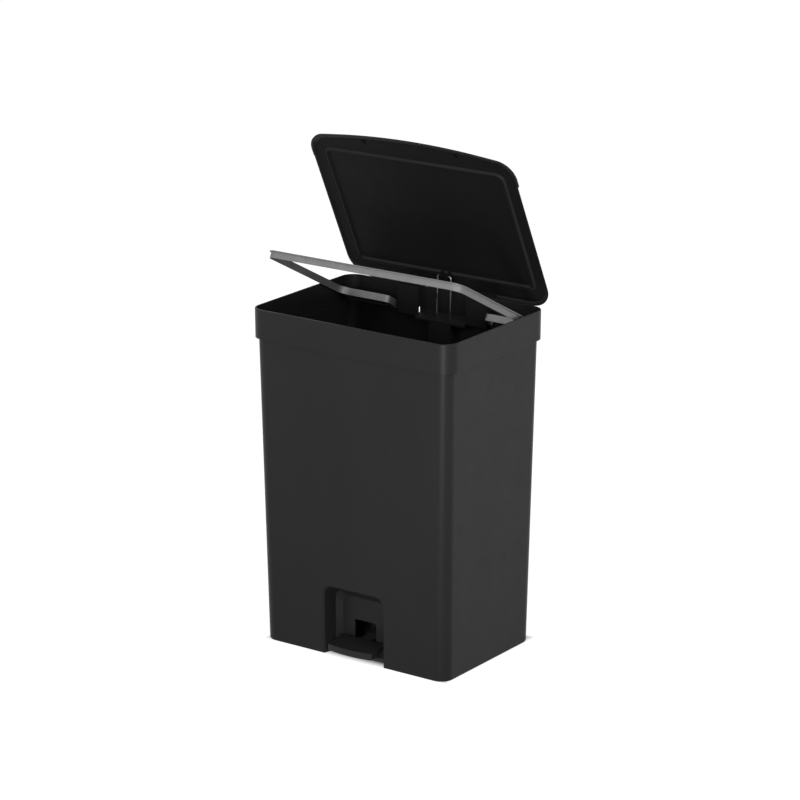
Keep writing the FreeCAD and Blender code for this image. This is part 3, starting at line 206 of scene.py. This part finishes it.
def coated(name, colour, rough=0.4):
    """Powder-coated sheet steel with a slight orange peel and rubbed patches."""
    n = Finish(name)
    rub = n.noise(scale=45.0, detail=6.0, rough=0.7)
    bare = tinted(colour, 1.5)
    n.link(n.mix(n.ramp(rub, 0.0, 1.0, 0.45, 0.75), colour, bare), n.inputs["Base Color"])
    n.link(n.ramp(rub, rough - 0.05, rough + 0.1), n.inputs["Roughness"])
    peel = n.noise(scale=900.0, detail=2.0, rough=0.5)
    pebbled = n.bump(peel, strength=0.3, distance=0.00005, base=n.soft_edges(0.0006))
    n.link(pebbled, n.inputs["Normal"])
    return n


def body_plastic(foot_shade_gloss=0.1, rim_gloss=0.18):
    """The bin's plastic, its shine painted lower towards the foot: painted shade that darkens it
    downwards.
    """
    n = moulded("bin_plastic", plastic, rough=0.4, gloss=rim_gloss)
    height = n.split(n.coord)[2]
    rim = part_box("bin_body")[1][2]
    # Painted shade: the shine fades from the rim down to the foot, darkening the lower walls.
    n.link(n.ramp(height, foot_shade_gloss, rim_gloss, 0.0, rim), n.inputs["Specular IOR Level"])
    return n


def wire_with_shaded_bar(shade_half=0.006, shade_edge=0.0002, steel_gloss=0.5):
    """Drawn wire with the middle of its cross-bar painted dark and dull: painted shade, no real
    sleeve.
    """
    n = brushed("wire_steel", wire_grey, stretch=along_z)
    steel = n.inputs["Base Color"].links[0].from_socket
    off_middle = n.math("ABSOLUTE", n.split(n.coord)[0])
    # Painted shade: near the middle of x the wire takes the dark, dull plastic colour and loses its
    # metal.
    bare = n.ramp(off_middle, 0.0, 1.0, shade_half, shade_half + shade_edge)
    n.link(n.mix(bare, shaded_plastic, steel), n.inputs["Base Color"])
    n.link(bare, n.inputs["Metallic"])
    n.link(n.ramp(bare, shaded_gloss, steel_gloss, 0.0, 1.0), n.inputs["Specular IOR Level"])
    return n


def panel_shade_and_highlight(node, highlight_gloss=0.18, rising_share=0.12):
    """The lid panel's plastic in the painted-shade tone, with painted highlights: more shine on its
    bead's outer and upper shoulders.
    """
    n = moulded("lid_panel_painted_light", shaded_plastic, rough=0.6, edge=0.0004, gloss=shaded_gloss)
    # The open panel rises from the hinge at the back towards the front.
    corners = [Vector(corner) for corner in node.bound_box]
    middle = sum(corners, Vector()) / len(corners)
    run = corners[6] - corners[0]
    upward = Vector((0.0, -run.y, run.z)).normalized()
    from_middle = n.vector("SUBTRACT", n.coord, middle, "Vector")
    outward = n.vector("DOT_PRODUCT", from_middle, n.facing, "Value")
    rising = n.vector("DOT_PRODUCT", n.facing, upward * rising_share, "Value")
    shoulder = n.math("MAXIMUM", outward, rising)
    # Painted highlight: slopes facing outward or up get more shine, drawing light lines along the
    # bead.
    painted_highlight = n.ramp(shoulder, shaded_gloss, highlight_gloss, start=0.025, end=0.07)
    n.link(painted_highlight, n.inputs["Specular IOR Level"])
    return n


finishes = {
    "bin_plastic": body_plastic(),
    "lid_plastic": moulded("lid_plastic", plastic, rough=0.42, gloss=0.1),
    "pedal_plastic": moulded("pedal_plastic", pedal_black, rough=0.45, grain=1800.0),
    "cap_plastic": moulded("cap_plastic", plastic, rough=0.4, edge=0.0003),
    # The bracket and buffers take the painted-shade copy of the plastic, matched to the lid panel.
    "bracket_plastic": moulded("bracket_plastic", shaded_plastic, rough=0.62, edge=0.0005, gloss=0.06),
    "bush_nylon": moulded("bush_nylon", nylon, rough=0.35, edge=0.0003, grain=nylon_grain),
    "guide_plastic": moulded("guide_plastic", nylon, rough=0.35, edge=0.0004, grain=nylon_grain),
    "bearing_plastic": moulded("bearing_plastic", bearing_nylon, rough=0.38, edge=0.0005,
                               grain=nylon_grain),
    "buffer_rubber": moulded("buffer_rubber", shaded_plastic, rough=0.6, edge=0.0003,
                             gloss=shaded_gloss, grain=1500.0),
    "frame_steel": brushed("frame_steel", frame_grey, rough=0.5, metal=0.68),
    "wire_steel": wire_with_shaded_bar(),
    "pin_steel": brushed("pin_steel", bright_steel, rough=0.26, stretch=along_x),
    "screw_steel": brushed("screw_steel", bright_steel, stretch=all_ways),
    "rivet_steel": brushed("rivet_steel", rivet_bright, rough=0.22, stretch=along_x),
    "clip_steel": brushed("clip_steel", clip_grey, stretch=all_ways),
    "lever_steel": coated("lever_steel", lever_black),
}
own_finish = {"lid_panel": panel_shade_and_highlight(nodes["lid_panel"])}
for part in record["subparts"]:
    mesh = nodes[part["node"]].data
    mesh.materials.clear()
    finish = own_finish.get(part["node"], finishes[part["material_slot"]])
    mesh.materials.append(finish.material)


# ---- stage, light and camera ---------------------------------------------------------------------

floor_half = 9.0
floor_grey = (0.25, 0.25, 0.25)
floor_glow = 0.95
ambient = 0.22

# The floor's dark patch ends between these two distances inside the bin body's box.
shade_start = 0.035
shade_end = 0.012


def seen_rays(n):
    """One where a ray comes from the camera or by a mirror or glass, nought elsewhere."""
    path = n.add("ShaderNodeLightPath").outputs
    mirrored = n.math("MAXIMUM", path["Is Camera Ray"], path["Is Glossy Ray"])
    return n.math("MAXIMUM", mirrored, path["Is Transmission Ray"])


def outside_footprint(n):
    """Nought under the bin and one round it, with a soft edge a little inside the bin's walls."""
    low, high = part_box("bin_body")
    place = n.split(n.coord)
    edges = []
    for axis in (0, 1):
        middle = (low[axis] + high[axis]) / 2
        half = (high[axis] - low[axis]) / 2
        off_middle = n.math("ABSOLUTE", n.math("SUBTRACT", place[axis], middle))
        edges.append(n.ramp(off_middle, 0.0, 1.0, half - shade_start, half - shade_end))
    return n.math("MAXIMUM", *edges)


def floor_finish():
    """Pale matte floor that glows white to the camera, except under the bin, where it stays dark."""
    n = Finish("floor_pale")
    mottle = n.ramp(n.noise(scale=3.0), 0.0, 1.0)
    n.link(n.mix(mottle, tinted(floor_grey, 0.985), floor_grey), n.inputs["Base Color"])
    n.inputs["Roughness"].default_value = 1.0
    n.inputs["Specular IOR Level"].default_value = 0.0
    n.inputs["Emission Color"].default_value = (1, 1, 1, 1)
    lit = n.math("MULTIPLY", seen_rays(n), outside_footprint(n))
    n.link(n.math("MULTIPLY", lit, floor_glow), n.inputs["Emission Strength"])
    return n


def make_floor():
    mesh = bpy.data.meshes.new("floor")
    build = bmesh.new()
    bmesh.ops.create_grid(build, x_segments=8, y_segments=8, size=floor_half)
    build.to_mesh(mesh)
    build.free()
    floor = bpy.data.objects.new("floor", mesh)
    scene.collection.objects.link(floor)
    mesh.materials.append(floor_finish().material)


def make_world():
    """White to the camera and in reflections, and a dim light elsewhere."""
    world = bpy.data.worlds.new("studio")
    scene.world = world
    world.use_nodes = True
    n = Tree(world.node_tree)
    n.tree.nodes.clear()
    surface = n.add("ShaderNodeOutputWorld").inputs["Surface"]
    mix = n.add("ShaderNodeMixShader")
    for slot, strength in ((1, ambient), (2, 1.0)):
        glow = n.add("ShaderNodeBackground")
        glow.inputs["Color"].default_value = (1, 1, 1, 1)
        glow.inputs["Strength"].default_value = strength
        n.link(glow.outputs[0], mix.inputs[slot])
    n.link(seen_rays(n), mix.inputs[0])
    n.link(mix.outputs[0], surface)


def area(name, place, aim, size, watts):
    """Rectangular lamp at a place, turned to a point and hidden from the camera."""
    lamp = bpy.data.lights.new(name, "AREA")
    lamp.shape = "RECTANGLE"
    lamp.size, lamp.size_y = size
    lamp.energy = watts
    thing = bpy.data.objects.new(name, lamp)
    scene.collection.objects.link(thing)
    thing.location = place
    thing.rotation_mode = "QUATERNION"
    thing.rotation_quaternion = (Vector(aim) - Vector(place)).to_track_quat("-Z", "Y")
    thing.visible_camera = False


def make_camera():
    """Three-quarter view from the right front and a little above, through a long lens."""
    azimuth = math.radians(35.36)
    elevation = math.radians(16.763)
    distance = 6.0698
    target = Vector((0.0048, -0.0004, 0.4372))
    level = math.cos(elevation)
    back = Vector((math.sin(azimuth) * level, -math.cos(azimuth) * level, math.sin(elevation)))
    camera = bpy.data.cameras.new("camera")
    camera.sensor_width = 36.0
    camera.lens = 159.16
    camera.clip_end = 60.0
    thing = bpy.data.objects.new("camera", camera)
    scene.collection.objects.link(thing)
    thing.location = target + back * distance
    thing.rotation_mode = "QUATERNION"
    thing.rotation_quaternion = (-back).to_track_quat("-Z", "Y")
    scene.camera = thing


make_floor()
make_world()
area("key", place=(2.6, -1.2, 2.6), aim=(0, 0, 0.4), size=(2.0, 2.0), watts=37)
area("corner", place=(1.2, -2.8, 0.45), aim=(0, 0, 0.4), size=(0.35, 1.1), watts=58)
area("fill", place=(-2.4, -3.2, 2.2), aim=(0, 0, 0.4), size=(2.4, 2.4), watts=17)
area("rim", place=(0.5, 3.0, 3.0), aim=(0, 0, 0.6), size=(2.4, 1.6), watts=34)
make_camera()
scene.view_settings.view_transform = "Standard"
